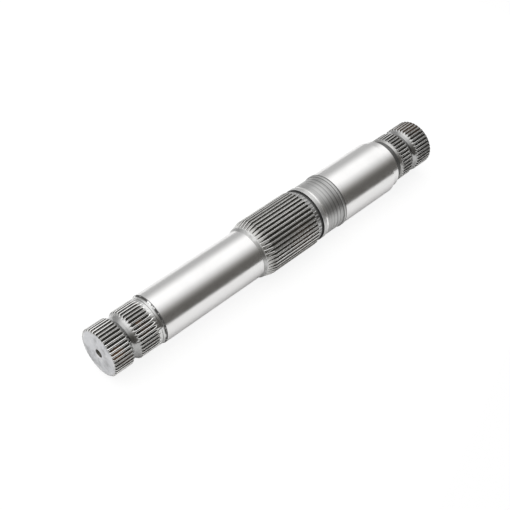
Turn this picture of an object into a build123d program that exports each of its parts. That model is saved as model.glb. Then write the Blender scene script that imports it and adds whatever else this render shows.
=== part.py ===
from build123d import *
from math import acos, degrees, radians, sqrt, tan
import os

# Hydraulic lift arm shaft, in millimetres.
# One bar of steel, turned, splined and ground. Its axis lies along X, the thinner bearing
# journal is towards -X and the thicker one towards +X. The origin is on the axis, halfway
# along the shaft. The centre spline carries the rocker arm, and the two ends the lift arms.

# Lengths along the axis, in order from the -X end
left_spline_length = 51.8
left_land_length = 5.0
left_shoulder_length = 2.6
left_journal_length = 118.9
approach_cone_length = 4.3
approach_ring_length = 1.4
centre_lead_in_length = 8.7
centre_spline_length = 58.9
centre_tooth_end_length = 1.0
centre_land_length = 5.0
undercut_width = 2.6
rim_length = 4.0
rim_bevel_length = 2.6
turned_band_length = 22.0
stop_ring_length = 3.9
right_journal_length = 72.3
right_step_length = 3.2
right_pilot_length = 8.4
right_neck_length = 6.6
right_lead_in_length = 2.4
right_spline_length = 46.2

# Diameters, in the same order
end_spline_diameter = 48.8
left_journal_diameter = 50.8
approach_ring_diameter = 54.4
centre_spline_diameter = 59.8
centre_land_diameter = 56.2
undercut_diameter = 54.8
rim_diameter = 58.2
turned_band_diameter = 56.6
stop_ring_diameter = 58.5
right_journal_diameter = 57.6
right_pilot_diameter = 53.2
right_neck_diameter = 45.6

# Spline teeth: the gap between two teeth is a V, with both flanks slanted by the flank angle
end_tooth_count = 38
end_tooth_depth = 1.5
end_flank_angle = 38.5
centre_tooth_count = 42
centre_tooth_depth = 2.2
centre_flank_angle = 31.0
cutter_radius = 12.0
cutter_clearance = 0.8
cutter_overrun = 1.0
centre_runout_before_spline_end = 1.4

# Round grooves across the end splines, where the clamp bolts of the lift arms pass
clamp_groove_from_end = 25.4
clamp_groove_radius = 6.35
clamp_groove_depth = 3.0
groove_wall_below_gaps = 0.15
groove_wall_hollow = 0.02

# Small turned detail
end_chamfer = 1.0
bevel_crown = 0.02
line_groove_from_spline = 1.8
line_groove_width = 0.9
line_groove_depth = 0.4
ring_pitch = 3.9
first_ring_depth = 0.1
last_ring_depth = 0.3

# Centre holes, drilled in both end faces
centre_hole_mouth_diameter = 9.0
centre_hole_pilot_diameter = 4.0
centre_hole_depth = 9.5
centre_hole_angle = 60

# Stations along the axis, each where one length ends and the next begins
shaft_length = (
    left_spline_length + left_land_length + left_shoulder_length + left_journal_length
    + approach_cone_length + approach_ring_length + centre_lead_in_length
    + centre_spline_length + centre_tooth_end_length + centre_land_length
    + undercut_width + rim_length + rim_bevel_length + turned_band_length
    + stop_ring_length + right_journal_length + right_step_length + right_pilot_length
    + right_neck_length + right_lead_in_length + right_spline_length
)
left_face = -shaft_length / 2
left_spline_end = left_face + left_spline_length
left_land_end = left_spline_end + left_land_length
left_journal_start = left_land_end + left_shoulder_length
left_journal_end = left_journal_start + left_journal_length
approach_ring_start = left_journal_end + approach_cone_length
approach_ring_end = approach_ring_start + approach_ring_length
centre_spline_start = approach_ring_end + centre_lead_in_length
centre_spline_end = centre_spline_start + centre_spline_length
centre_land_start = centre_spline_end + centre_tooth_end_length
undercut_start = centre_land_start + centre_land_length
rim_start = undercut_start + undercut_width
rim_end = rim_start + rim_length
turned_band_start = rim_end + rim_bevel_length
stop_ring_start = turned_band_start + turned_band_length
right_journal_start = stop_ring_start + stop_ring_length
right_journal_end = right_journal_start + right_journal_length
right_pilot_start = right_journal_end + right_step_length
right_neck_start = right_pilot_start + right_pilot_length
right_neck_end = right_neck_start + right_neck_length
right_spline_start = right_neck_end + right_lead_in_length
right_face = right_spline_start + right_spline_length

# Radii
end_tip = end_spline_diameter / 2
end_root = end_tip - end_tooth_depth
left_journal = left_journal_diameter / 2
approach_ring = approach_ring_diameter / 2
centre_tip = centre_spline_diameter / 2
centre_root = centre_tip - centre_tooth_depth
centre_land = centre_land_diameter / 2
undercut = undercut_diameter / 2
rim = rim_diameter / 2
turned_band = turned_band_diameter / 2
stop_ring = stop_ring_diameter / 2
right_journal = right_journal_diameter / 2
right_pilot = right_pilot_diameter / 2
right_neck = right_neck_diameter / 2

# Clamp grooves: the round floor starts just below the gaps, and slightly hollow walls stand on it
clamp_groove_floor = end_tip - clamp_groove_depth
groove_centre = clamp_groove_floor + clamp_groove_radius
groove_floor_edge = end_root - groove_wall_below_gaps
floor_edge_below_centre = groove_centre - groove_floor_edge
groove_floor_reach = sqrt(clamp_groove_radius**2 - floor_edge_below_centre**2)
groove_floor_slope = groove_floor_reach / floor_edge_below_centre
groove_reach = sqrt(clamp_groove_radius**2 - (groove_centre - end_tip) ** 2)
left_groove_middle = left_face + clamp_groove_from_end
right_groove_middle = right_face - clamp_groove_from_end

# Line groove in the left land, undercut beside the rim, and rings of the turned band
line_groove_start = left_spline_end + line_groove_from_spline
line_groove_middle = line_groove_start + line_groove_width / 2
line_groove_end = line_groove_start + line_groove_width
line_groove_floor = end_tip - line_groove_depth
undercut_middle = (undercut_start + rim_start) / 2
ring_count = int(turned_band_length / ring_pitch) - 1

# Where the cutter starts to rise out of the left and centre splines
left_runout_length = sqrt(2 * cutter_radius * end_tooth_depth - end_tooth_depth**2)
left_runout_start = left_spline_end - left_runout_length
centre_runout_start = centre_spline_end - centre_runout_before_spline_end


def bevel(start, end):
    """Draw a bevel that is crowned a little outwards. It runs towards +X."""
    SagittaArc(start, end, bevel_crown)


def clamp_groove(middle):
    """Draw a round groove across the spline, from tooth tip to tooth tip."""
    left_edge = (middle - groove_floor_reach, groove_floor_edge)
    right_edge = (middle + groove_floor_reach, groove_floor_edge)
    SagittaArc(left_edge, (middle - groove_reach, end_tip), groove_wall_hollow)
    Spline(
        left_edge,
        (middle, clamp_groove_floor),
        right_edge,
        tangents=((1, -groove_floor_slope), (1, groove_floor_slope)),
    )
    SagittaArc(right_edge, (middle + groove_reach, end_tip), -groove_wall_hollow)


def turned_rings():
    """Draw the shallow rings of the turned band, which deepen towards the stop ring."""
    outline = [(turned_band_start, turned_band)]
    for place_from_stop in range(ring_count, 0, -1):
        share = (ring_count - place_from_stop) / max(ring_count - 1, 1)
        depth = first_ring_depth + share * (last_ring_depth - first_ring_depth)
        middle = stop_ring_start - place_from_stop * ring_pitch
        outline.append((middle - ring_pitch / 2, turned_band))
        outline.append((middle, turned_band - depth))
    outline.append((stop_ring_start - ring_pitch / 2, turned_band))
    outline.append((stop_ring_start, turned_band))
    Polyline(outline)


# The turned blank: half of its outline, spun about the axis
with BuildPart() as blank:
    with BuildSketch(Plane.XZ):
        with BuildLine():
            Line((left_face, 0), (left_face, end_tip - end_chamfer))
            bevel((left_face, end_tip - end_chamfer), (left_face + end_chamfer, end_tip))
            Line((left_face + end_chamfer, end_tip), (left_groove_middle - groove_reach, end_tip))
            clamp_groove(left_groove_middle)
            Polyline(
                (left_groove_middle + groove_reach, end_tip),
                (line_groove_start, end_tip),
                (line_groove_middle, line_groove_floor),
                (line_groove_end, end_tip),
                (left_land_end, end_tip),
                (left_journal_start, left_journal),
                (left_journal_end, left_journal),
                (approach_ring_start, approach_ring),
                (approach_ring_end, approach_ring),
            )
            bevel((approach_ring_end, approach_ring), (centre_spline_start, centre_tip))
            Polyline(
                (centre_spline_start, centre_tip),
                (centre_spline_end, centre_tip),
                (centre_land_start, centre_land),
                (undercut_start, centre_land),
                (undercut_middle, undercut),
                (rim_start, rim),
                (rim_end, rim),
                (turned_band_start, turned_band),
            )
            turned_rings()
            Polyline(
                (stop_ring_start, turned_band),
                (stop_ring_start, stop_ring),
                (right_journal_start, stop_ring),
                (right_journal_start, right_journal),
                (right_journal_end, right_journal),
                (right_pilot_start, right_pilot),
                (right_neck_start, right_pilot),
                (right_neck_start, right_neck),
                (right_neck_end, right_neck),
            )
            bevel((right_neck_end, right_neck), (right_spline_start, end_tip))
            Line((right_spline_start, end_tip), (right_groove_middle - groove_reach, end_tip))
            clamp_groove(right_groove_middle)
            Line((right_groove_middle + groove_reach, end_tip), (right_face - end_chamfer, end_tip))
            bevel((right_face - end_chamfer, end_tip), (right_face, end_tip - end_chamfer))
            Polyline((right_face, end_tip - end_chamfer), (right_face, 0), (left_face, 0))
        make_face()
    revolve(axis=Axis.X)


def gap_between_teeth(start, end, root, depth, flank_angle, runs_out):
    """Make what the cutter takes out between two teeth, at the top of the shaft.

    Where it runs out, the cutter rises on its own arc from the full depth to clear air.
    """
    height = depth + cutter_clearance
    half_width = height * tan(radians(flank_angle))
    runout_arc = degrees(acos(1 - height / cutter_radius))
    with BuildPart() as gap:
        with BuildSketch(Plane.YZ.offset(end)) as section:
            with BuildLine():
                Polyline(
                    (0, root),
                    (half_width, root + height),
                    (-half_width, root + height),
                    close=True,
                )
            make_face()
        extrude(amount=start - end)
        if runs_out:
            cutter_axis = Axis((end, 0, root + cutter_radius), (0, -1, 0))
            revolve(section.sketch, axis=cutter_axis, revolution_arc=runout_arc)
    return gap.part


def gaps_around(gap, tooth_count):
    """Repeat one gap all round the shaft."""
    return [gap.rotate(Axis.X, 360 * number / tooth_count) for number in range(tooth_count)]


left_gap = gap_between_teeth(
    left_face - cutter_overrun, left_runout_start,
    end_root, end_tooth_depth, end_flank_angle, runs_out=True,
)
centre_gap = gap_between_teeth(
    approach_ring_end - cutter_overrun, centre_runout_start,
    centre_root, centre_tooth_depth, centre_flank_angle, runs_out=True,
)
right_gap = gap_between_teeth(
    right_neck_end - cutter_overrun, right_face + cutter_overrun,
    end_root, end_tooth_depth, end_flank_angle, runs_out=False,
)


# The finished shaft: the blank with its spline gaps and centre holes
with BuildPart() as lift_arm_shaft:
    add(blank.part)
    add(gaps_around(left_gap, end_tooth_count), mode=Mode.SUBTRACT)
    add(gaps_around(centre_gap, centre_tooth_count), mode=Mode.SUBTRACT)
    add(gaps_around(right_gap, end_tooth_count), mode=Mode.SUBTRACT)
    with Locations(-Plane.YZ.offset(left_face), Plane.YZ.offset(right_face)):
        CounterSinkHole(
            radius=centre_hole_pilot_diameter / 2,
            counter_sink_radius=centre_hole_mouth_diameter / 2,
            depth=centre_hole_depth,
            counter_sink_angle=centre_hole_angle,
        )

lift_arm_shaft.part.label = "lift_arm_shaft"

os.makedirs("parts", exist_ok=True)
export_step(lift_arm_shaft.part, "parts/lift_arm_shaft.step")
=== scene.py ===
"""Looks of a hydraulic lift arm shaft: one turned, splined and ground bar of bare steel.

The shaft lies along X, with the thinner journal and the nearer end towards -X. Its outline is
drawn from the sizes below, spun about the axis and cut into teeth by a Geometry Nodes tree.
"""

from math import acos, ceil, cos, lcm, pi, radians, sin, sqrt, tan
from types import SimpleNamespace

import bpy
from bpy.props import FloatProperty, FloatVectorProperty, IntProperty, PointerProperty
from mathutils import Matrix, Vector


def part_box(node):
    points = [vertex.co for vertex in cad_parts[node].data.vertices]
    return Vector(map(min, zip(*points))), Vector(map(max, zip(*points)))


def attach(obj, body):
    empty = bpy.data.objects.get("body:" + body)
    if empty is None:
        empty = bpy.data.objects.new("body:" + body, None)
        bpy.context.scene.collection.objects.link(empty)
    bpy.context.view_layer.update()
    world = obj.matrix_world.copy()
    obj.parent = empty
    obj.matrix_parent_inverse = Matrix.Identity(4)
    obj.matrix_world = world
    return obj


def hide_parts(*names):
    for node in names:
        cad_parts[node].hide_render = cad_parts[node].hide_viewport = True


bl_info = {
    "name": "Lift Arm Shaft",
    "version": (1, 0, 0),
    "blender": (4, 5, 0),
    "location": "3D View > Sidebar > Shaft",
    "description": "Builds a splined lift arm shaft, its steel finishes and its studio",
    "category": "Mesh",
}

MM = 0.001
SHAFT_NODE = "lift_arm_shaft"

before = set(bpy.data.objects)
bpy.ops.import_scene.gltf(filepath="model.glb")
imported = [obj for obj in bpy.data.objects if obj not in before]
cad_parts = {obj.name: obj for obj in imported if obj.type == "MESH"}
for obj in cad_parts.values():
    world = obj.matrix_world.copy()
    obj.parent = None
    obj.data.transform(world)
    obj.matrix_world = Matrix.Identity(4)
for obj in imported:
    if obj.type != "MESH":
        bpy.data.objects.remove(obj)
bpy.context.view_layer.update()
shaft_low, shaft_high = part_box(SHAFT_NODE)
FRAME_LENGTH = shaft_high.x - shaft_low.x
FRAME_RADIUS = shaft_high.y

# Edges that turn more than this many degrees are shaded as sharp.
SHARP_EDGE = 40

# The mesh has at least this many columns around the axis.
FEWEST_COLUMNS = 700

# Bevel on the edges of the clamp grooves, and length of the line of painted shade before a journal.
GROOVE_EDGE = 0.3 * MM
PAINTED_SHADE_LINE = 0.5 * MM

# Old oil has dried brown in the gaps around these places. The two lengths are how far the
# film stays full and where it ends, and the last value is its strength.
OIL_STAINS = (
    ((-0.2094, -0.0213, 0.0119), 3.0 * MM, 9.0 * MM, 0.9),
    ((-0.1779, -0.0122, 0.0212), 2.0 * MM, 5.0 * MM, 0.6),
    ((0.2080, 0.0076, 0.0232), 8.0 * MM, 22.0 * MM, 0.4),
    ((0.0150, -0.0295, 0.0016), 6.0 * MM, 26.0 * MM, 0.3),
)

# Each stretch of the outline has one finish. Its number is its place in this list.
FINISHES = (
    "faced_steel",
    "end_spline_steel",
    "groove_steel",
    "shoulder_steel",
    "ground_steel",
    "turned_steel",
    "centre_spline_steel",
    "ringed_steel",
    "necked_steel",
    "undercut_steel",
    "rim_steel",
)


def length(name, description, millimetres):
    """Return one length as a property, shown in the scene's own unit."""
    return FloatProperty(
        name=name, description=description, default=millimetres * MM,
        min=0.0, unit="LENGTH", precision=5,
    )


def tilt(name, description, degrees):
    """Return one angle as a property."""
    return FloatProperty(
        name=name, description=description, default=radians(degrees), subtype="ANGLE",
    )


def amount(name, description, value):
    """Return one plain number as a property."""
    return FloatProperty(name=name, description=description, default=value)


def count(name, description, value):
    """Return one whole number as a property."""
    return IntProperty(name=name, description=description, default=value, min=1)


def point(name, description, value):
    """Return one point of the scene as a property."""
    return FloatVectorProperty(
        name=name, description=description, default=value, size=3, unit="LENGTH",
    )


def colour(name, description, value):
    """Return one steel colour as a property."""
    return FloatVectorProperty(
        name=name, description=description, default=value,
        size=4, min=0.0, max=1.0, subtype="COLOR",
    )


class ShaftSizes(bpy.types.PropertyGroup):
    """Lengths along the shaft in order from the -X end, then its radii, teeth and grooves."""

    left_spline: length("Left Spline", "Left spline, with its run-outs", 50.9)
    left_land: length("Left Land", "Plain land after the left spline", 5.0)
    left_shoulder: length("Left Shoulder", "Bevel up to the left journal", 2.5)
    left_journal: length("Left Journal", "Thinner bearing journal", 120.6)
    approach_cone: length("Approach Cone", "Cone after the left journal", 2.9)
    approach_ring: length("Approach Ring", "Narrow ring before the lead-in", 1.3)
    centre_lead_in: length("Centre Lead-in", "Cone on which the centre teeth rise", 9.5)
    centre_spline: length("Centre Spline", "Centre teeth at full height", 58.9)
    centre_tooth_end: length("Centre Tooth End", "Slanted ends of the centre teeth", 1.0)
    centre_land: length("Centre Land", "Plain land after the centre teeth", 4.5)
    undercut: length("Undercut", "Narrow groove beside the rim", 2.7)
    rim: length("Rim", "Rim that the rocker arm stops against", 4.4)
    rim_bevel: length("Rim Bevel", "Bevel behind the rim", 2.6)
    turned_band: length("Turned Band", "Band with the shallow rings", 22.0)
    stop_ring: length("Stop Ring", "Raised ring before the right journal", 3.9)
    right_journal: length("Right Journal", "Thicker bearing journal", 72.3)
    right_step: length("Right Step", "Stretch in which the journal steps down to the pilot", 3.2)
    right_pilot: length("Right Pilot", "Short pilot beside the neck", 7.7)
    right_neck: length("Right Neck", "Neck beside the right spline", 7.8)
    right_lead_in: length("Right Lead-in", "Bevel up to the right spline", 1.9)
    right_step_middle: length("Right Step Middle", "Start of the step to its sharp shoulder", 1.3)

    end_tip_radius: length("End Tip Radius", "Axis to the tips of the end teeth", 24.4)
    left_journal_radius: length("Left Journal Radius", "Radius of the left journal", 25.4)
    approach_ring_radius: length("Approach Ring Radius", "Radius of the narrow ring", 27.2)
    centre_tip_radius: length(
        "Centre Tip Radius", "Axis to the tips of the centre teeth", FRAME_RADIUS / MM,
    )
    centre_land_radius: length("Centre Land Radius", "Radius of the centre land", 28.1)
    centre_land_fall: length("Centre Land Fall", "Slope of the centre land to the undercut", 0.5)
    undercut_radius: length("Undercut Radius", "Radius at the undercut's floor", 26.9)
    rim_radius: length("Rim Radius", "Radius of the rim", 28.9)
    turned_band_radius: length("Turned Band Radius", "Radius of the turned band", 28.3)
    stop_ring_radius: length("Stop Ring Radius", "Radius of the stop ring", 29.25)
    right_journal_radius: length("Right Journal Radius", "Radius of the right journal", 28.8)
    right_pilot_radius: length("Right Pilot Radius", "Radius of the pilot", 26.6)
    right_neck_radius: length("Right Neck Radius", "Radius of the neck", 22.8)

    end_teeth: count("End Teeth", "Teeth on each end spline", 38)
    end_tooth_depth: length("End Tooth Depth", "Depth of the gaps at the ends", 1.5)
    right_gap_start: length("Right Gap Start", "Uncut start of the right spline", 0.4)
    end_gap_floor: length("End Gap Floor", "Width of the gap floors at the ends", 0.85)
    end_flank_angle: tilt("End Flank Angle", "Slant of the flanks of the end teeth", 31.5)
    centre_teeth: count("Centre Teeth", "Teeth on the centre spline", 42)
    centre_tooth_depth: length("Centre Tooth Depth", "Depth of the centre gaps", 2.8)
    centre_gap_floor: length("Centre Gap Floor", "Width of the centre gap floors", 0.5)
    centre_flank_angle: tilt("Centre Flank Angle", "Slant of the flanks of the centre teeth", 21.5)
    end_edge_rounding: length("End Edge Rounding", "Softness of the end teeth's long edges", 0.7)
    centre_edge_rounding: length("Centre Edge Rounding", "Softness of the centre teeth's edges", 0.7)
    cutter_radius: length("Cutter Radius", "Radius of the cutter that leaves the run-outs", 12.0)
    right_cutter_radius: length("Right Cutter Radius", "Radius of the right gaps' closed ends", 8.0)
    runout_scatter: length("Run-out Scatter", "How unevenly the run-outs start", 0.3)
    centre_runout: length("Centre Run-out", "Run-out at the ends of the centre gaps", 1.4)
    seed: count("Seed", "Seed of the uneven run-outs", 7)

    clamp_groove_from_end: length("Groove From End", "End face to a clamp groove's middle", 25.4)
    clamp_groove_radius: length("Groove Radius", "Radius of the clamp grooves' section", 6.35)
    clamp_groove_depth: length("Groove Depth", "Depth of the clamp grooves", 3.0)
    end_chamfer: length("End Chamfer", "Chamfer on both ends", 1.0)
    line_groove_offset: length("Line Groove Offset", "Left spline to the line groove", 2.4)
    line_groove_width: length("Line Groove Width", "Width of the line groove", 0.9)
    line_groove_depth: length("Line Groove Depth", "Depth of the line groove", 0.65)
    ring_pitch: length("Ring Pitch", "Distance between the shallow rings", 4.5)
    ring_width: length("Ring Width", "Width of a shallow ring", 2.2)
    first_ring_depth: length("First Ring Depth", "Depth of the faintest ring", 0.1)
    last_ring_depth: length("Last Ring Depth", "Depth of the deepest ring", 0.3)
    hole_mouth_radius: length("Centre Hole Mouth", "Radius of the centre holes' mouths", 4.5)
    hole_pilot_radius: length("Centre Hole Pilot", "Radius of the centre holes' pilots", 2.0)
    hole_depth: length("Centre Hole Depth", "Depth of the centre holes", 9.5)
    hole_angle: tilt("Centre Hole Angle", "Angle across the centre holes' cones", 60.0)


class SteelColours(bpy.types.PropertyGroup):
    """Colours of the bare steel, from the ground journals to the gaps, which are oil-dark and also
    painted shade.
    """

    ground: colour("Ground Steel", "The polished journals", (0.74, 0.735, 0.73, 1.0))
    turned: colour("Turned Steel", "Lands, cones, grooves and rings", (0.465, 0.465, 0.46, 1.0))
    faced: colour("Faced Steel", "The two end faces", (0.6, 0.605, 0.62, 1.0))
    tooth: colour("Tooth Steel", "Tops of the teeth", (0.3, 0.298, 0.288, 1.0))
    # Worn steel also paints the bright line at the rim's bevel, partly wear and partly a painted
    # highlight.
    worn: colour("Worn Steel", "Bright worn edges and corners", (0.92, 0.915, 0.9, 1.0))
    # Gap steel is oil-dark, and where it fills the gaps between teeth and the centre holes it is also
    # painted shade.
    gap: colour("Gap Oil And Painted Shade", "Oil-dark floors of the gaps", (0.085, 0.082, 0.073, 1.0))
    rust: colour("Old Oil", "Brown film in some gaps", (0.15, 0.085, 0.048, 1.0))
    scale: colour("Dark Scale", "Rough dark patches on the shoulder", (0.09, 0.088, 0.085, 1.0))


class StudioSettings(bpy.types.PropertyGroup):
    """The camera, the floor and the soft light around the shaft."""

    camera_place: point("Camera Place", "Where the camera stands", (-0.5334, -0.5208, 0.6925))
    camera_aim: point("Camera Aim", "What the camera looks at", (-0.02129, 0.00291, -0.01319))
    camera_lens: amount("Lens", "Focal length on a 36 mm sensor, in millimetres", 73.16)
    floor_reach: length("Floor Reach", "Half the width of the floor", 4000.0)
    floor_end: length("Floor End", "The shaft's middle to the floor's +X edge", 550.0)
    floor_front: length("Floor Front", "The shaft's middle to the floor's front edge", 260.0)
    floor_slant: amount("Floor Slant", "How much nearer the front edge comes per metre along X", 0.34)
    overhead: amount("Overhead Light", "Brightness of the soft light overhead", 1.4)
    far_wall: amount("Far Wall", "Brightness of the wall behind the shaft", 0.6)
    near_room: amount("Near Room", "Brightness of the room on the camera's side", 0.14)
    near_end: amount("Near End", "How much brighter the light is past the shaft's -X end", 1.4)
    far_end: amount("Far End", "How much of the light is left past the shaft's +X end", 0.3)


def sizes():
    return bpy.context.scene.shaft_sizes


def colours():
    return bpy.context.scene.shaft_colours


def stations():
    """Return the station of every change of section, named after the stretch that starts there."""
    size = sizes()
    stretches = (
        "left_spline", "left_land", "left_shoulder", "left_journal", "approach_cone",
        "approach_ring", "centre_lead_in", "centre_spline", "centre_tooth_end", "centre_land",
        "undercut", "rim", "rim_bevel", "turned_band", "stop_ring", "right_journal",
        "right_step", "right_pilot", "right_neck", "right_lead_in", "right_spline",
    )
    place = shaft_low.x
    found = {}
    for stretch in stretches:
        found[stretch] = place
        place += getattr(size, stretch, 0.0)
    return SimpleNamespace(**found, right_face=shaft_low.x + FRAME_LENGTH)


class Outline:
    """Half of the shaft's section, as points of station, radius and finish number."""

    def __init__(self):
        self.points = []

    def to(self, finish, station, radius, bevel=0.0, steps=0):
        """Add a corner, at which a finish starts, and even steps of the last finish before it.

        Its bevel waits for the next corner.
        """
        for number in range(steps):
            last_station, last_radius, last_finish, _ = self.points[-1]
            share = 1 / (steps + 1 - number)
            step = last_station + share * (station - last_station)
            self.points.append((step, last_radius + share * (radius - last_radius), last_finish, 0.0))
        self.points.append((station, radius, FINISHES.index(finish), bevel))

    def along(self, finish, *corners):
        """Add corners that share one finish."""
        for station, radius in corners:
            self.to(finish, station, radius)

    def cut(self):
        """Return the points with every bevelled corner turned into two."""
        cut = []
        for place, (station, radius, finish, bevel) in enumerate(self.points):
            if bevel == 0.0:
                cut.append((station, radius, finish))
                continue
            corner = Vector((station, radius))
            before = Vector(self.points[place - 1][:2])
            after = Vector(self.points[place + 1][:2])
            start = corner + (before - corner).normalized() * bevel
            end = corner + (after - corner).normalized() * bevel
            cut.append((start.x, start.y, finish))
            cut.append((end.x, end.y, finish))
        return cut

    def held(self):
        """Return the cut points, with more beside soft bends to keep long stretches even."""
        long_stretch = 3 * MM
        beside_bend = 0.15 * MM
        points = self.cut()
        runs = [Vector(second[:2]) - Vector(first[:2]) for first, second in zip(points, points[1:])]
        held = []
        for place, run in enumerate(runs):
            held.append(points[place])
            if run.length < long_stretch:
                continue
            station, radius, finish = points[place]
            hold = run.normalized() * beside_bend
            if place > 0 and soft_bend(runs[place - 1], run):
                held.append((station + hold.x, radius + hold.y, finish))
            if place + 1 < len(runs) and soft_bend(run, runs[place + 1]):
                held.append((station + run.x - hold.x, radius + run.y - hold.y, finish))
        held.append(points[-1])
        return held


def soft_bend(before, after):
    """Return whether two runs meet at an angle that smooth shading would carry into them."""
    return radians(2) < before.angle(after) < radians(SHARP_EDGE)


def runout_length(cutter_radius):
    """Return the length over which a cutter rises out of an end gap's full depth."""
    depth = sizes().end_tooth_depth
    return sqrt(2 * cutter_radius * depth - depth**2)


def right_gaps_full(at):
    """Return the station from which the right gaps have their full depth."""
    size = sizes()
    return at.right_spline + size.right_gap_start + runout_length(size.right_cutter_radius)


def hole_corners(face, inward):
    """Return the corners of a centre hole, from its bottom out to its mouth in an end face."""
    size = sizes()
    sink = (size.hole_mouth_radius - size.hole_pilot_radius) / tan(size.hole_angle / 2)
    return (
        (face + inward * size.hole_depth, 0.0),
        (face + inward * size.hole_depth, size.hole_pilot_radius),
        (face + inward * sink, size.hole_pilot_radius),
        (face, size.hole_mouth_radius),
    )


def draw_clamp_groove(outline, middle):
    """Draw the round groove across an end spline."""
    size = sizes()
    tip = size.end_tip_radius
    centre = tip - size.clamp_groove_depth + size.clamp_groove_radius
    half_angle = acos((centre - tip) / size.clamp_groove_radius)
    reach = size.clamp_groove_radius * sin(half_angle)
    arc_steps = 8
    outline.to("groove_steel", middle - reach, tip, GROOVE_EDGE)
    for number in range(1, arc_steps):
        angle = half_angle * (2 * number / arc_steps - 1)
        station = middle + size.clamp_groove_radius * sin(angle)
        outline.to("groove_steel", station, centre - size.clamp_groove_radius * cos(angle))
    outline.to("end_spline_steel", middle + reach, tip, GROOVE_EDGE)


def draw_left_end(outline, at):
    """Draw the left centre hole, end face, spline, land and shoulder."""
    size = sizes()
    face = at.left_spline
    land = at.left_land
    tip = size.end_tip_radius
    outline.along("faced_steel", *hole_corners(face, 1))
    outline.along("end_spline_steel", (face, tip - size.end_chamfer), (face + size.end_chamfer, tip))
    draw_clamp_groove(outline, face + size.clamp_groove_from_end)

    runout = runout_length(size.cutter_radius)
    outline.to("end_spline_steel", land - runout - size.runout_scatter, tip)
    outline.to("shoulder_steel", land, tip, steps=5)
    line_start = land + size.line_groove_offset
    line_end = line_start + size.line_groove_width
    line_slant = 0.25 * size.line_groove_width
    line_floor = tip - size.line_groove_depth
    outline.along(
        "shoulder_steel",
        (line_start, tip),
        (line_start + line_slant, line_floor),
        (line_end - line_slant, line_floor),
        (line_end, tip),
        (at.left_shoulder, tip),
    )
    corner_drop = 0.3 * MM
    journal = size.left_journal_radius
    # A short stretch before the journal is painted dark: painted shade in the corner.
    outline.to("undercut_steel", at.left_journal - PAINTED_SHADE_LINE, journal - corner_drop)
    outline.to("ground_steel", at.left_journal, journal)


def draw_centre_spline(outline, at):
    """Draw the cone, the narrow ring, the lead-in, the centre spline and its land."""
    size = sizes()
    tip = size.centre_tip_radius
    teeth_end = at.centre_tooth_end
    before_runout = 0.1 * MM
    outline.to("turned_steel", at.approach_cone, size.left_journal_radius)
    outline.to("rim_steel", at.approach_ring, size.approach_ring_radius)
    outline.to("centre_spline_steel", at.centre_lead_in, size.approach_ring_radius)
    outline.to("centre_spline_steel", at.centre_spline, tip, steps=5)
    outline.to("centre_spline_steel", teeth_end - size.centre_runout - before_runout, tip)
    outline.to("centre_spline_steel", teeth_end, tip, steps=2)
    outline.to("turned_steel", at.centre_land, size.centre_land_radius, steps=2)


def draw_rim_and_rings(outline, at):
    """Draw the undercut, the rim, the ringed band and the stop ring."""
    size = sizes()
    soft_edge = 0.2 * MM
    left_slant = 0.4 * MM
    right_slant = 0.15 * MM
    # The undercut is painted dark: painted shade in the groove.
    outline.along(
        "undercut_steel",
        (at.undercut, size.centre_land_radius - size.centre_land_fall),
        (at.undercut + left_slant, size.undercut_radius),
        (at.rim - right_slant, size.undercut_radius),
    )
    outline.along(
        "rim_steel",
        (at.rim, size.rim_radius - soft_edge),
        (at.rim + soft_edge, size.rim_radius),
        (at.rim_bevel, size.rim_radius),
    )
    band = size.turned_band_radius
    outline.to("ringed_steel", at.turned_band, band)
    ring_count = int(size.turned_band / size.ring_pitch) - 1
    for number in range(ring_count):
        share = number / max(ring_count - 1, 1)
        depth = size.first_ring_depth + share * (size.last_ring_depth - size.first_ring_depth)
        middle = at.stop_ring - (ring_count - number) * size.ring_pitch
        outline.along(
            "ringed_steel",
            (middle - size.ring_width / 2, band),
            (middle, band - depth),
            (middle + size.ring_width / 2, band),
        )
    chamfer = 1.0 * MM
    journal = at.right_journal
    outline.along(
        "ringed_steel", (at.stop_ring, band), (at.stop_ring + chamfer, size.stop_ring_radius),
    )
    # The stop ring's last stretch before the journal is painted dark: painted shade.
    outline.along(
        "necked_steel",
        (journal - 3 * PAINTED_SHADE_LINE, size.stop_ring_radius),
        (journal - PAINTED_SHADE_LINE, size.stop_ring_radius),
    )
    outline.to("ground_steel", journal, size.right_journal_radius)


def draw_right_end(outline, at):
    """Draw the end of the right journal, the neck, the right spline and its end face."""
    size = sizes()
    face = at.right_face
    tip = size.end_tip_radius
    shoulder = at.right_step + size.right_step_middle
    shoulder_width = 0.3 * MM
    soft_edge = 0.2 * MM
    outline.to("ground_steel", shoulder, size.right_journal_radius, soft_edge)
    outline.to("ground_steel", shoulder + shoulder_width, size.right_pilot_radius, soft_edge)
    # The neck is painted dark: painted shade in its recess.
    outline.to("necked_steel", at.right_neck, size.right_pilot_radius, 2 * soft_edge)
    outline.to("necked_steel", at.right_neck, size.right_neck_radius)
    outline.to("end_spline_steel", at.right_lead_in, size.right_neck_radius)
    outline.to("end_spline_steel", at.right_spline, tip, steps=2)
    outline.to("end_spline_steel", right_gaps_full(at), tip, steps=4)
    draw_clamp_groove(outline, face - size.clamp_groove_from_end)
    outline.to("end_spline_steel", face - size.end_chamfer, tip)
    outline.to("faced_steel", face, tip - size.end_chamfer)
    outline.along("faced_steel", *reversed(hole_corners(face, -1)))


def outline_mesh():
    """Return the shaft's outline as a chain of edges in the XY plane, with its finishes."""
    outline = Outline()
    at = stations()
    draw_left_end(outline, at)
    draw_centre_spline(outline, at)
    draw_rim_and_rings(outline, at)
    draw_right_end(outline, at)
    points = outline.held()
    mesh = bpy.data.meshes.new("shaft_outline")
    edges = [(number, number + 1) for number in range(len(points) - 1)]
    mesh.from_pydata([(station, radius, 0.0) for station, radius, _ in points], edges, [])
    finish = mesh.attributes.new("finish", "INT", "POINT")
    finish.data.foreach_set("value", [number for _, _, number in points])
    return mesh


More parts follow.
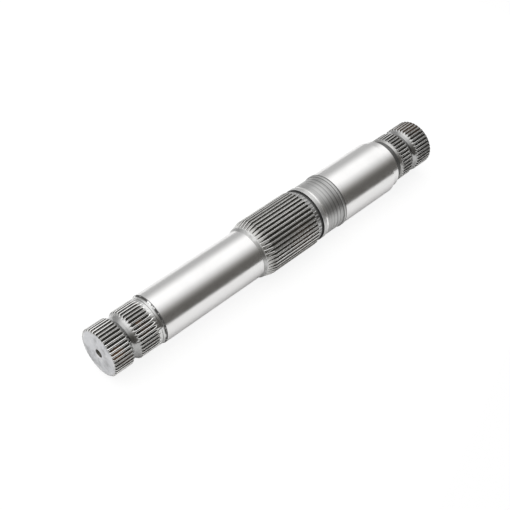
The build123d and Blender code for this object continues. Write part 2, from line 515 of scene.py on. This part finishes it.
class Value:
    """One output of a node. Numbers count on with + - * / and with Math nodes by name."""

    def __init__(self, socket):
        self.socket = socket
        self.tree = socket.id_data

    def math(self, operation, *others):
        """Return what a Math node makes of this number and the others."""
        return math_node(self.tree, operation, self, *others)

    def line(self, slope, offset):
        """Return this number times a slope, plus an offset."""
        return self.math("MULTIPLY_ADD", slope, offset)

    def __add__(self, other):
        return self.math("ADD", other)

    def __sub__(self, other):
        return self.math("SUBTRACT", other)

    def __rsub__(self, other):
        return math_node(self.tree, "SUBTRACT", other, self)

    def __mul__(self, other):
        return self.math("MULTIPLY", other)

    def __truediv__(self, other):
        return self.math("DIVIDE", other)

    def __rtruediv__(self, other):
        return math_node(self.tree, "DIVIDE", other, self)


def feed(target, value):
    """Link a node's input to a value of its tree, or give it a plain one."""
    if isinstance(value, Value):
        value.tree.links.new(value.socket, target)
    else:
        target.default_value = value


def add_node(tree, kind, inputs=None, **settings):
    """Add a node to a tree with its settings, then feed its inputs, by name or by number."""
    node = tree.nodes.new(kind)
    for name, value in settings.items():
        setattr(node, name, value)
    for socket, value in (inputs or {}).items():
        feed(node.inputs[socket], value)
    return node


def put(tree, kind, inputs=None, output=0, **settings):
    """Add a node with its inputs fed, and return one of its outputs, by name or by number."""
    return Value(add_node(tree, kind, inputs, **settings).outputs[output])


def values_of(node):
    """Return a node's outputs by their names."""
    return {socket.name: Value(socket) for socket in node.outputs}


def math_node(tree, operation, *values):
    """Return what a Math node makes of some numbers."""
    return put(tree, "ShaderNodeMath", dict(enumerate(values)), operation=operation)


def vector_math(tree, operation, *vectors, output=0):
    """Return what a Vector Math node makes of some vectors."""
    return put(tree, "ShaderNodeVectorMath", dict(enumerate(vectors)), output, operation=operation)


def scaled(tree, vector, factor):
    """Return a vector or a colour times a number."""
    inputs = {"Vector": vector, "Scale": factor}
    return put(tree, "ShaderNodeVectorMath", inputs, operation="SCALE")


def split_xyz(vector):
    """Return the three parts of a vector."""
    return [Value(part) for part in add_node(vector.tree, "ShaderNodeSeparateXYZ", {0: vector}).outputs]


def join_xyz(tree, *parts):
    """Return the vector that has these parts, in their order."""
    return put(tree, "ShaderNodeCombineXYZ", dict(enumerate(parts)))


def choose(test, if_true, if_false):
    """Return one of two numbers, by a test that is 0 or 1."""
    inputs = {"Switch": test, "True": if_true, "False": if_false}
    return put(test.tree, "GeometryNodeSwitch", inputs, input_type="FLOAT")


def grid_place(index, rows):
    """Return the column and the row of a grid's point or face, from its index."""
    column = ((index + 0.25) / rows).math("FLOOR")
    return column, index - column * rows


def read_finish(tree):
    """Return the finish number that is stored on the geometry."""
    return put(tree, "GeometryNodeInputNamedAttribute", {"Name": "finish"}, data_type="INT")


def of_outline(outline, kind, value, row):
    """Return a value of one of the outline's points."""
    inputs = {"Geometry": outline, "Value": value, "Index": row}
    return put(outline.tree, "GeometryNodeSampleIndex", inputs, data_type=kind, domain="POINT")


def store(geometry, name, value, kind, domain):
    """Return the geometry with a value stored on it under a name."""
    inputs = {"Geometry": geometry, "Name": name, "Value": value}
    return put(
        geometry.tree, "GeometryNodeStoreNamedAttribute", inputs, data_type=kind, domain=domain,
    )


def add_input(tree, name, kind, default=None):
    socket = tree.interface.new_socket(name, in_out="INPUT", socket_type=kind)
    if default is not None:
        socket.default_value = default


def cutter_rise(past, cutter_radius):
    """Return how far the cutter has risen, when it is this far past the start of its run-out."""
    run = past.math("MAXIMUM", 0.0).math("MINIMUM", cutter_radius)
    left = cutter_radius.math("POWER", 2.0) - run.math("POWER", 2.0)
    return cutter_radius - left.math("MAXIMUM", 0.0).math("SQRT")


def end_rise(ask, station, tooth):
    """Return how far the cutter has risen in an end gap. At the left it starts unevenly."""
    most = ask["Run-out Scatter"]
    inputs = {2: most * -1.0, 3: most, 7: tooth.math("MODULO", ask["End Teeth"]), 8: ask["Seed"]}
    scatter = put(station.tree, "FunctionNodeRandomValue", inputs, 1, data_type="FLOAT")
    at_left = cutter_rise(station - (ask["Left Run-out Start"] + scatter), ask["Cutter Radius"])
    before = ask["Right Gaps Full"] - station
    at_right = cutter_rise(before, ask["Right Cutter Radius"])
    uncut = before.math("GREATER_THAN", ask["Right Cutter Radius"])
    clear_of_shaft = 20 * MM
    at_right = uncut.line(clear_of_shaft, at_right)
    return choose(station.math("GREATER_THAN", 0.0), at_right, at_left)


def centre_rise(ask, station, _tooth):
    """Return how far the cutter has risen in a centre gap."""
    return cutter_rise(station - ask["Centre Run-out Start"], ask["Cutter Radius"])


def spline_surface(ask, end, column, station, rise_at):
    """Return the angle of a column and the radius of the gap surface there, for one spline.

    Three quarters of a tooth's columns lie in its gap and the rest on its top. A place is a
    share of the pitch, counted from the gap's middle.
    """
    teeth = ask[f"{end} Teeth"]
    tip = ask[f"{end} Tip Radius"]
    depth = ask[f"{end} Tooth Depth"]
    rounding = ask[f"{end} Edge Rounding"]
    per_tooth = ask["Columns"] / teeth
    pitch = tip * (2 * pi) / teeth
    slope = ask[f"{end} Flank Angle"].math("TANGENT")
    half_floor = ask[f"{end} Gap Floor"] * 0.5
    half_gap = slope.line(depth, half_floor)
    half_mouth = rounding.line(slope, half_gap)
    gap_share = half_mouth / pitch

    half = (per_tooth - 1.0) * 0.5
    in_gap = (half * 0.75).math("ROUND")
    tooth = ((column + 0.1) / per_tooth).math("FLOOR")
    step = column - tooth * per_tooth - half
    reach = step.math("ABSOLUTE")
    inside = reach / in_gap * gap_share
    on_top = half + 0.5 - in_gap
    outside = ((reach - in_gap) / on_top).line(0.5 - gap_share, gap_share)
    past_gap = reach.math("GREATER_THAN", in_gap + 0.5)
    place = choose(past_gap, outside, inside)
    angle = step.math("SIGN").line(place, tooth) / teeth * (2 * pi)

    across = place.math("ABSOLUTE") * pitch
    climbed = (across - half_floor) / slope
    flank = climbed.math("SMOOTH_MAX", 0.0, rounding)
    floor = tip - depth + rise_at(ask, station, tooth)
    return angle, floor + flank


def shaft_tree(values):
    """Return the tree that spins an outline into a shaft, with an input for each value."""
    tree = bpy.data.node_groups.new("turned_and_splined_shaft", "GeometryNodeTree")
    add_input(tree, "Outline", "NodeSocketGeometry")
    tree.interface.new_socket("Shaft", in_out="OUTPUT", socket_type="NodeSocketGeometry")
    for name, value in values.items():
        add_input(tree, name, "NodeSocketInt" if isinstance(value, int) else "NodeSocketFloat", value)
    for finish in FINISHES:
        add_input(tree, finish, "NodeSocketMaterial")
    ask = values_of(add_node(tree, "NodeGroupInput"))
    outline = ask["Outline"]

    rows = put(tree, "GeometryNodeAttributeDomainSize", {0: outline}, "Point Count", component="MESH")
    counts = {"Vertices X": ask["Columns"] + 1.0, "Vertices Y": rows}
    grid = put(tree, "GeometryNodeMeshGrid", counts, "Mesh")
    index = put(tree, "GeometryNodeInputIndex")
    column, row = grid_place(index, rows)
    position = put(tree, "GeometryNodeInputPosition")
    station, blank_radius, _ = split_xyz(of_outline(outline, "FLOAT_VECTOR", position, row))

    end_angle, end_gap = spline_surface(ask, "End", column, station, end_rise)
    centre_angle, centre_gap = spline_surface(ask, "Centre", column, station, centre_rise)
    after = station.math("GREATER_THAN", ask["Centre Teeth Start"])
    in_centre = after * station.math("LESS_THAN", ask["Centre Teeth End"])
    angle = choose(in_centre, centre_angle, end_angle)
    gap_radius = choose(in_centre, centre_gap, end_gap)
    rounding = choose(in_centre, ask["Centre Edge Rounding"], ask["End Edge Rounding"])
    radius = blank_radius.math("SMOOTH_MIN", gap_radius, rounding)

    _, face_row = grid_place(index, rows - 1.0)
    finish = of_outline(outline, "INT", read_finish(tree), face_row)
    sheet = store(grid, "cut_depth", blank_radius - radius, "FLOAT", "POINT")
    sheet = store(sheet, "finish", finish, "INT", "FACE")
    turned = join_xyz(tree, station, radius * angle.math("SINE"), radius * angle.math("COSINE"))
    spun = put(tree, "GeometryNodeSetPosition", {"Geometry": sheet, "Position": turned})
    closed = put(tree, "GeometryNodeMergeByDistance", {"Geometry": spun, "Distance": 0.001 * MM})
    smooth = put(tree, "GeometryNodeSetShadeSmooth", {"Geometry": closed}, domain="FACE")
    sharp = put(tree, "GeometryNodeInputMeshEdgeAngle").math("GREATER_THAN", radians(SHARP_EDGE))
    crease = {"Geometry": smooth, "Selection": sharp, "Shade Smooth": False}
    creased = put(tree, "GeometryNodeSetShadeSmooth", crease, domain="EDGE")
    surface = put(tree, "GeometryNodeRealizeInstances", {0: creased})
    for number, name in enumerate(FINISHES):
        coated = read_finish(tree).math("COMPARE", number, 0.5)
        coat = {"Geometry": surface, "Selection": coated, "Material": ask[name]}
        surface = put(tree, "GeometryNodeSetMaterial", coat)
    add_node(tree, "NodeGroupOutput", {0: surface})
    return tree


def open_group(name, **inputs):
    """Start a shader node group. Returns it and its inputs, which have these values at first."""
    group = bpy.data.node_groups.new(name, "ShaderNodeTree")
    for label, value in inputs.items():
        add_input(group, label, "NodeSocketFloat", value)
    return group, values_of(add_node(group, "NodeGroupInput"))


def close_group(group, **results):
    """Give a shader node group its outputs."""
    for label in results:
        group.interface.new_socket(label, in_out="OUTPUT", socket_type="NodeSocketFloat")
    add_node(group, "NodeGroupOutput", results)


def place_group(tree, name, **inputs):
    """Put a shader node group into a material and return its outputs."""
    group = bpy.data.node_groups[name]
    return values_of(add_node(tree, "ShaderNodeGroup", inputs, node_tree=group))


def object_place(tree):
    """Return the place on the shaft that is being shaded."""
    return put(tree, "ShaderNodeTexCoord", output="Object")


def remap(value, low, high, to_low=0.0, to_high=1.0):
    """Return a number carried smoothly from one range to another and held inside it."""
    inputs = {"Value": value, "From Min": low, "From Max": high, "To Min": to_low, "To Max": to_high}
    return put(value.tree, "ShaderNodeMapRange", inputs, interpolation_type="SMOOTHSTEP")


def blend(share, first, second):
    """Return a colour between two, by a share from 0 to 1."""
    inputs = {"Factor": share, 6: first, 7: second}
    return put(share.tree, "ShaderNodeMix", inputs, 2, data_type="RGBA")


def shade(tree, colour_value, tone):
    """Multiply a plain colour by a tone near 1."""
    return scaled(tree, tuple(colour_value)[:3], tone)


def make_turning_marks():
    """Fine lines around the axis, left by the lathe tool or the grinding wheel.

    Lines is their number per metre, Length about how many radians they run around the axis,
    and Spread how far their tone varies.
    """
    group, given = open_group("turning_marks", Lines=4000.0, Length=1.0, Spread=0.1)
    x, y, z = split_xyz(object_place(group))
    around = vector_math(group, "NORMALIZE", join_xyz(group, 0.0, y, z))
    stretched = scaled(group, around, 1.0 / given["Length"])
    moved = vector_math(group, "ADD", join_xyz(group, x * given["Lines"]), stretched)
    noise = {"Vector": moved, "Scale": 1.0, "Detail": 3.0}
    centred = put(group, "ShaderNodeTexNoise", noise, "Fac") - 0.5
    close_group(group, Height=centred * 0.5, Tone=centred.line(given["Spread"], 1.0))


def make_mottle():
    """Cloudy patches, as of old oil, stains and dull spots.

    Patches is their number per metre, Cover the share that they cover, Softness that of their
    edges and Shift what moves them elsewhere.
    """
    group, given = open_group("mottle", Patches=90.0, Cover=0.5, Softness=0.1, Shift=0.0)
    moved = vector_math(group, "ADD", object_place(group), given["Shift"])
    clouds = {"Vector": moved, "Scale": given["Patches"], "Detail": 4.0, "Roughness": 0.6}
    cloud = put(group, "ShaderNodeTexNoise", clouds, "Fac")
    bare = 1.0 - given["Cover"]
    patch = remap(cloud, bare - given["Softness"], bare + given["Softness"])
    close_group(group, Patch=patch, Cloud=cloud)


def make_tooth_shade():
    """Masks for the gaps between teeth, which are painted dark as oil and painted shade, and for the
    bright worn edges of their tops.

    The inputs are depths: that of the worn edges, and those at which the dark starts and is full.
    """
    group, given = open_group("tooth_shade", Worn=0.25 * MM, Start=0.3 * MM, Full=1.0 * MM)
    depth = put(group, "ShaderNodeAttribute", output="Fac", attribute_name="cut_depth")
    begins = remap(depth, 0.003 * MM, 0.015 * MM)
    ends = remap(depth, given["Worn"], given["Worn"] * 2.0, 1.0, 0.0)
    close_group(group, Gap=remap(depth, given["Start"], given["Full"]), Edge=begins * ends)


def start_steel(name):
    """Start a steel material. Returns it and its node tree."""
    material = bpy.data.materials.new(name)
    material.use_nodes = True
    return material, material.node_tree


def give_finish(material, base, roughness, height, raised, strength=1.0, metallic=1.0, specular=0.5):
    """Give a material its colour, its roughness and its marks, raised by a length. Returns it."""
    tree = material.node_tree
    surface = tree.nodes["Principled BSDF"].inputs
    feed(surface["Base Color"], base)
    feed(surface["Roughness"], roughness)
    feed(surface["Metallic"], metallic)
    feed(surface["Specular IOR Level"], specular)
    marks = {"Height": height, "Distance": raised, "Strength": strength}
    feed(surface["Normal"], put(tree, "ShaderNodeBump", marks))
    return material


def ground_steel():
    """Journals: ground bright, with very fine lines around them."""
    material, tree = start_steel("ground_steel")
    marks = place_group(tree, "turning_marks", Lines=2500.0, Length=0.6, Spread=0.05)
    dull = place_group(tree, "mottle", Patches=60.0, Cover=0.45, Softness=0.15)
    base = shade(tree, colours().ground, dull["Cloud"].line(-0.05, 1.02) * marks["Tone"])
    roughness = dull["Patch"].line(0.04, 0.2)
    return give_finish(material, base, roughness, marks["Height"], 0.004 * MM, 0.4)


def spline_steel(name, top_tone, gap_tone, gap_start, gap_full, worn_stretches):
    """Teeth: grey tops with fine cross marks, bright worn edges, and gaps painted dark as oil and painted
    shade.

    A worn stretch is bright at its first station and turns to plain steel at its second. Its
    third value is how bright it is.
    """
    material, tree = start_steel(name)
    marks = place_group(tree, "turning_marks", Lines=1500.0, Length=0.2, Spread=0.5)
    edge_depth = 0.14 * MM + 0.6 * gap_start
    mask = place_group(tree, "tooth_shade", Worn=edge_depth, Start=gap_start, Full=gap_full)
    oil = place_group(tree, "mottle", Patches=28.0, Cover=0.36, Softness=0.05, Shift=0.3)
    dirt = place_group(tree, "mottle", Patches=220.0, Cover=0.5, Softness=0.2)
    worn = colours().worn
    place = object_place(tree)
    station = split_xyz(place)[0]
    # The teeth are darker towards the +X end.
    fade_toward_plus_x = remap(station, 0.06, 0.17, 1.0, 0.72)
    top = shade(tree, colours().tooth, marks["Tone"] * (fade_toward_plus_x * top_tone))
    top = blend(dirt["Patch"] * 0.25, top, colours().gap)
    polish = 0.0
    for bright, plain, strength in worn_stretches:
        near = remap((station - bright).math("ABSOLUTE"), 0.0, abs(plain - bright), 1.0, 0.0)
        top = blend(near * strength, top, worn)
        polish = near.math("MAXIMUM", polish)
    bright_edge = mask["Edge"] * fade_toward_plus_x
    polish = bright_edge.math("MAXIMUM", polish)
    brown = oil["Patch"] * 0.3
    for middle, full, end, strength in OIL_STAINS:
        apart = vector_math(tree, "DISTANCE", place, middle, output="Value")
        brown = brown.math("MAXIMUM", remap(apart, full, end, strength, 0.0))
    # The gaps are painted dark by their depth: partly oil, partly painted shade between the teeth.
    floor = blend(brown, shade(tree, colours().gap, gap_tone), colours().rust)
    base = blend(mask["Gap"], blend(bright_edge, top, worn), floor)
    return give_finish(
        material, base, polish.line(-0.4, 0.62), marks["Height"], 0.02 * MM, 0.6,
        metallic=mask["Gap"].line(-0.6, polish.line(0.2, 0.8)), specular=0.3,
    )


def groove_steel():
    """Clamp grooves: smooth cutter-finished steel, where the tooth gaps that run in are painted dark as
    oil and painted shade.
    """
    material, tree = start_steel("groove_steel")
    marks = place_group(tree, "turning_marks", Lines=900.0, Length=0.5, Spread=0.2)
    stain = place_group(tree, "mottle", Patches=150.0, Cover=0.42, Softness=0.12)
    mask = place_group(tree, "tooth_shade", Start=0.3 * MM, Full=1.0 * MM)
    bare = shade(tree, colours().turned, marks["Tone"] * 0.82)
    stained = blend(stain["Patch"] * 0.3, bare, colours().gap)
    edged = blend(mask["Edge"] * 0.15, stained, colours().worn)
    # Where the tooth gaps run into the groove they are painted dark: oil and painted shade.
    base = blend(mask["Gap"], edged, colours().gap)
    return give_finish(material, base, 0.18, marks["Height"], 0.01 * MM, 0.4)


def shoulder_steel():
    """Left land and shoulder: bright steel with rough dark patches towards the journal."""
    material, tree = start_steel("shoulder_steel")
    marks = place_group(tree, "turning_marks", Lines=1800.0, Length=0.5, Spread=0.2)
    scale = place_group(tree, "mottle", Patches=190.0, Cover=0.53, Softness=0.05, Shift=0.6)
    shoulder = stations().left_shoulder
    station = split_xyz(object_place(tree))[0]
    patch = scale["Patch"] * remap(station, shoulder - 0.7 * MM, shoulder + 0.9 * MM)
    bare = shade(tree, colours().turned, marks["Tone"] * 1.3)
    base = blend(patch, bare, colours().scale)
    height = patch.line(-1.5, marks["Height"])
    return give_finish(material, base, patch.line(0.45, 0.16), height, 0.03 * MM)


def turned_steel(name, tone, roughness, lines):
    """Cones, lands, the neck and the undercut: turned steel with lines from the tool. The neck's and the
    undercut's low tones are painted shade.
    """
    material, tree = start_steel(name)
    marks = place_group(tree, "turning_marks", Lines=lines, Length=0.8, Spread=0.45)
    stain = place_group(tree, "mottle", Patches=120.0, Cover=0.45, Softness=0.12, Shift=1.7)
    bare = shade(tree, colours().turned, marks["Tone"] * tone)
    stained = blend(stain["Patch"] * 0.3, bare, colours().gap)
    roughness = stain["Patch"].line(0.1, roughness)
    return give_finish(material, stained, roughness, marks["Height"], 0.03 * MM, 0.7)


def rim_steel():
    """Rim and narrow ring: rough and pale, with a bright line where the bevel starts: partly wear, partly
    a painted highlight.
    """
    material, tree = start_steel("rim_steel")
    rough = place_group(tree, "mottle", Patches=420.0, Cover=0.5, Softness=0.2, Shift=0.6)
    station = split_xyz(object_place(tree))[0] + rough["Cloud"].line(1.2 * MM, -0.6 * MM)
    bevel = stations().rim_bevel
    begins = remap(station, bevel - 0.5 * MM, bevel + 0.1 * MM)
    ends = remap(station, bevel + 1.3 * MM, bevel + 1.7 * MM, 1.0, 0.0)
    bare = shade(tree, colours().turned, rough["Cloud"].line(0.6, 0.95))
    # The bright line at the bevel's start is painted in the worn colour: partly wear, partly a painted
    # highlight.
    worn = begins * ends * 0.9
    base = blend(worn, bare, colours().worn)
    return give_finish(material, base, worn.line(-0.2, 0.44), rough["Cloud"], 0.08 * MM, 0.8)


def ringed_steel():
    """The band before the right journal: lathe lines, and rings darkened as painted shade, stronger to
    the right.
    """
    material, tree = start_steel("ringed_steel")
    at = stations()
    marks = place_group(tree, "turning_marks", Lines=1300.0, Length=1.5, Spread=0.9)
    station = split_xyz(object_place(tree))[0]
    always_positive = 100.5
    turns = (station - at.stop_ring) / sizes().ring_pitch + always_positive
    from_ring = (turns.math("FRACT") - 0.5).math("ABSOLUTE")
    # The rings are painted darker: painted shade in the shallow grooves, stronger towards the stop ring.
    ring = remap(from_ring, 0.04, 0.2, 1.0, 0.0)
    ring_shade_growth = remap(station, at.turned_band + 2.0 * MM, at.stop_ring, 0.1, 0.7)
    tone = marks["Tone"] * (ring * ring_shade_growth).line(-0.8, 0.95)
    base = shade(tree, colours().turned, tone)
    return give_finish(material, base, 0.4, marks["Height"], 0.03 * MM, 0.7)


def faced_steel():
    """End faces: dull, with blotches, pale spots, a duller outer edge and a centre hole painted dark as
    shade.
    """
    material, tree = start_steel("faced_steel")
    blotch = place_group(tree, "mottle", Patches=70.0, Cover=0.45, Softness=0.1, Shift=0.35)
    fine = place_group(tree, "mottle", Patches=500.0, Cover=0.5, Softness=0.3)
    pale = place_group(tree, "mottle", Patches=110.0, Cover=0.4, Softness=0.08, Shift=1.1)
    _, y, z = split_xyz(object_place(tree))
    radius = (y.math("POWER", 2.0) + z.math("POWER", 2.0)).math("SQRT")
    bare = shade(tree, colours().faced, fine["Cloud"].line(0.25, 0.87))
    dull = blend(blotch["Patch"] * 0.38, bare, colours().scale)
    dull = blend(pale["Patch"] * 0.3, dull, colours().worn)
    edge = sizes().end_tip_radius - 3.2 * MM
    outer = remap(radius, edge, edge + 1.6 * MM)
    dull = blend(outer * fine["Cloud"], dull, colours().turned)
    mouth = sizes().hole_mouth_radius
    # The centre hole is painted dark: painted shade in the hole.
    hole_painted_shade = remap(radius, mouth - 0.35 * MM, mouth + 0.05 * MM, 1.0, 0.0)
    base = blend(hole_painted_shade, dull, colours().gap)
    return give_finish(material, base, blotch["Patch"].line(0.1, 0.5), fine["Cloud"], 0.04 * MM, 0.6)


def make_finishes():
    """Return every finish of the shaft, by the name that the outline uses."""
    make_turning_marks()
    make_mottle()
    make_tooth_shade()
    at = stations()
    end_worn = (
        (at.left_land, at.left_land - 4.0 * MM, 0.3),
        (at.right_lead_in, at.right_spline + 5.0 * MM, 0.3),
    )
    centre_worn = ((at.centre_lead_in, at.centre_spline, 0.25),)
    made = [
        faced_steel(),
        spline_steel(
            "end_spline_steel", top_tone=0.62, gap_tone=0.35,
            gap_start=0.22 * MM, gap_full=0.48 * MM, worn_stretches=end_worn,
        ),
        groove_steel(),
        shoulder_steel(),
        ground_steel(),
        turned_steel("turned_steel", tone=0.9, roughness=0.25, lines=1400.0),
        spline_steel(
            "centre_spline_steel", top_tone=1.2, gap_tone=0.9,
            gap_start=0.12 * MM, gap_full=0.45 * MM, worn_stretches=centre_worn,
        ),
        ringed_steel(),
        # The neck's and the undercut's low tones are painted shade.
        turned_steel("necked_steel", tone=0.36, roughness=0.5, lines=1200.0),
        turned_steel("undercut_steel", tone=0.32, roughness=0.5, lines=1200.0),
        rim_steel(),
    ]
    return dict(zip(FINISHES, made))


def columns_around():
    """Return how many columns the mesh has, a whole number of them for every tooth."""
    size = sizes()
    common = lcm(size.end_teeth, size.centre_teeth)
    return common * ceil(FEWEST_COLUMNS / common)


def tree_values():
    """Return what the shaft's tree is given: a value for each of its inputs."""
    size = sizes()
    at = stations()
    values = {"Columns": columns_around(), "Seed": size.seed}
    for end in ("End", "Centre"):
        for what in ("Teeth", "Tip Radius", "Tooth Depth", "Gap Floor", "Flank Angle", "Edge Rounding"):
            values[f"{end} {what}"] = getattr(size, f"{end} {what}".lower().replace(" ", "_"))
    beyond_teeth = 0.5 * MM
    values.update({
        "Cutter Radius": size.cutter_radius,
        "Right Cutter Radius": size.right_cutter_radius,
        "Run-out Scatter": size.runout_scatter,
        "Left Run-out Start": at.left_land - runout_length(size.cutter_radius),
        "Right Gaps Full": right_gaps_full(at),
        "Centre Run-out Start": at.centre_tooth_end - size.centre_runout,
        "Centre Teeth Start": at.centre_lead_in - beyond_teeth,
        "Centre Teeth End": at.undercut - beyond_teeth,
    })
    return values


def give_inputs(modifier, values):
    """Set a modifier's inputs by the identifiers of their sockets."""
    for item in modifier.node_group.interface.items_tree:
        if item.in_out == "INPUT" and item.name in values:
            modifier[item.identifier] = values[item.name]


class SHAFT_OT_build_shaft(bpy.types.Operator):
    """Spin the outline into the shaft, cut its splines and give it its finishes"""

    bl_idname = "shaft.build_shaft"
    bl_label = "Build Shaft"
    bl_options = {"REGISTER", "UNDO"}

    def execute(self, context):
        finishes = make_finishes()
        values = tree_values()
        shaft = bpy.data.objects.new("splined_shaft", outline_mesh())
        context.scene.collection.objects.link(shaft)
        modifier = shaft.modifiers.new("turned_and_splined_shaft", "NODES")
        modifier.node_group = shaft_tree(values)
        give_inputs(modifier, {**values, **finishes})
        context.view_layer.update()
        evaluated = shaft.evaluated_get(context.evaluated_depsgraph_get())
        mesh = bpy.data.meshes.new_from_object(evaluated)
        shaft.modifiers.remove(modifier)
        shaft.data = mesh
        if len(mesh.polygons) == 0:
            raise RuntimeError("The shaft's tree made no faces")
        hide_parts(SHAFT_NODE)
        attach(shaft, "root")
        return {"FINISHED"}


def floor_material():
    """A pale floor that the camera sees as white, with the shaft's soft shadow kept.

    In the steel's reflections the floor glows a little, and hardly at all close to the shaft, which is a
    painted contact shadow.
    """
    material = bpy.data.materials.new("studio_floor")
    material.use_nodes = True
    tree = material.node_tree
    tree.nodes.clear()
    path = values_of(add_node(tree, "ShaderNodeLightPath"))
    across = split_xyz(put(tree, "ShaderNodeNewGeometry", output="Position"))[1]
    # Less glow close to the shaft: a painted contact shadow in the steel's reflections.
    open_floor = remap(across.math("ABSOLUTE"), 12 * MM, 75 * MM, 0.02, 0.2)
    seen = path["Is Camera Ray"].math("MAXIMUM", path["Is Transmission Ray"])
    seen_share = 0.82
    seen_glow = 1.06
    more_in_steel = 0.5
    share = seen.line(seen_share, path["Is Glossy Ray"] * open_floor)
    strength = path["Is Glossy Ray"].line(more_in_steel, seen_glow)
    paint = put(tree, "ShaderNodeBsdfDiffuse", {"Color": (0.93, 0.93, 0.93, 1.0)})
    glow = put(tree, "ShaderNodeEmission", {"Strength": strength})
    mix = put(tree, "ShaderNodeMixShader", {0: share, 1: paint, 2: glow})
    add_node(tree, "ShaderNodeOutputMaterial", {0: mix})
    return material


def share_between(value, low, high):
    """Return how far a value is on its way from low to high, held between 0 and 1."""
    return min(max((value - low) / (high - low), 0.0), 1.0)


def light_bands(studio, turn):
    """Return the light's colour, in bands around the X axis.

    The bands run from the floor behind the shaft, up the far wall, over the soft light and
    down the dim room on the camera's side, which is a little warmer. Each stop is a number of
    degrees up from the floor behind the shaft, less 90, and the brightness there.
    """
    wall = studio.far_wall
    lamp = studio.overhead
    room = studio.near_room
    stops = (
        (-90, wall), (27, wall), (37, 0.5 * lamp), (47, 0.67 * lamp), (58, 0.9 * lamp),
        (66, lamp), (97, 0.97 * lamp), (108, 0.8 * lamp), (118, 0.64 * lamp), (128, 0.43 * lamp),
        (138, 0.24 * lamp), (148, 1.3 * room), (158, room), (210, room),
    )
    bands = add_node(turn.tree, "ShaderNodeValToRGB", {0: turn})
    ramp = bands.color_ramp
    for number, (degrees_around, brightness) in enumerate(stops):
        place = (degrees_around + 90) / 360
        stop = ramp.elements[number] if number < 2 else ramp.elements.new(place)
        stop.position = place
        level = brightness / lamp
        warmth = share_between(degrees_around, 120, 150)
        less_green = 0.04 * warmth
        less_blue = 0.1 * warmth
        stop.color = (level, level * (1 - less_green), level * (1 - less_blue), 1.0)
    return Value(bands.outputs[0])


def studio_world(studio):
    """A studio that the camera sees as white, with soft light in bands over the shaft."""
    world = bpy.data.worlds.new("studio")
    world.use_nodes = True
    tree = world.node_tree
    tree.nodes.clear()
    x, y, z = split_xyz(put(tree, "ShaderNodeTexCoord", output="Generated"))
    turn = (z.math("ARCTAN2", y) / (2 * pi) + 0.25).math("FRACT")
    # The light fades in directions near +X and grows in directions towards -X.
    open_end = remap(x, 0.69, 0.86, 1.0, studio.far_end)
    lit_end = remap(x, -0.45, 0.2, studio.near_end, 1.0)
    bands = {"Color": light_bands(studio, turn), "Strength": lit_end * open_end * studio.overhead}
    light = put(tree, "ShaderNodeBackground", bands)
    white = put(tree, "ShaderNodeBackground", {"Color": (1.0, 1.0, 1.0, 1.0)})
    seen = put(tree, "ShaderNodeLightPath", output="Is Camera Ray")
    mix = put(tree, "ShaderNodeMixShader", {0: seen, 1: light, 2: white})
    add_node(tree, "ShaderNodeOutputWorld", {0: mix})
    return world


class SHAFT_OT_build_studio(bpy.types.Operator):
    """Lay the floor, light the studio and set the camera"""

    bl_idname = "shaft.build_studio"
    bl_label = "Build Studio"
    bl_options = {"REGISTER", "UNDO"}

    def execute(self, context):
        scene = context.scene
        studio = scene.shaft_studio
        reach = studio.floor_reach
        end = studio.floor_end
        left, right = ((x, x * studio.floor_slant - studio.floor_front) for x in (-0.5, 0.4))
        corners = [(-reach, left[1]), left, right, (end, right[1]), (end, reach), (-reach, reach)]
        floor_mesh = bpy.data.meshes.new("studio_floor")
        floor_mesh.from_pydata([(x, y, shaft_low.z) for x, y in corners], [], [tuple(range(6))])
        floor_mesh.materials.append(floor_material())
        floor = bpy.data.objects.new("studio_floor", floor_mesh)
        scene.collection.objects.link(floor)
        scene.world = studio_world(studio)
        scene.view_settings.view_transform = "Standard"

        camera = bpy.data.cameras.new("camera")
        camera.lens = studio.camera_lens
        camera.sensor_width = 36.0
        camera.clip_start = 0.01
        view = bpy.data.objects.new("camera", camera)
        view.location = studio.camera_place
        gaze = Vector(studio.camera_aim) - Vector(studio.camera_place)
        view.rotation_euler = gaze.to_track_quat("-Z", "Y").to_euler()
        scene.collection.objects.link(view)
        scene.camera = view
        return {"FINISHED"}


class SHAFT_PT_sidebar(bpy.types.Panel):
    """Lists the shaft's operators, sizes and colours"""

    bl_idname = "SHAFT_PT_sidebar"
    bl_label = "Lift Arm Shaft"
    bl_space_type = "VIEW_3D"
    bl_region_type = "UI"
    bl_category = "Shaft"

    def draw(self, context):
        layout = self.layout
        layout.operator(SHAFT_OT_build_shaft.bl_idname)
        layout.operator(SHAFT_OT_build_studio.bl_idname)
        for group in (context.scene.shaft_sizes, context.scene.shaft_colours, context.scene.shaft_studio):
            column = layout.column(align=True)
            for name in group.__annotations__:
                column.prop(group, name)


CLASSES = (
    ShaftSizes,
    SteelColours,
    StudioSettings,
    SHAFT_OT_build_shaft,
    SHAFT_OT_build_studio,
    SHAFT_PT_sidebar,
)


def register():
    for cls in CLASSES:
        bpy.utils.register_class(cls)
    bpy.types.Scene.shaft_sizes = PointerProperty(type=ShaftSizes)
    bpy.types.Scene.shaft_colours = PointerProperty(type=SteelColours)
    bpy.types.Scene.shaft_studio = PointerProperty(type=StudioSettings)


def unregister():
    del bpy.types.Scene.shaft_studio
    del bpy.types.Scene.shaft_colours
    del bpy.types.Scene.shaft_sizes
    for cls in reversed(CLASSES):
        bpy.utils.unregister_class(cls)


def main():
    register()
    bpy.ops.shaft.build_shaft()
    bpy.ops.shaft.build_studio()


if __name__ == "__main__":
    main()
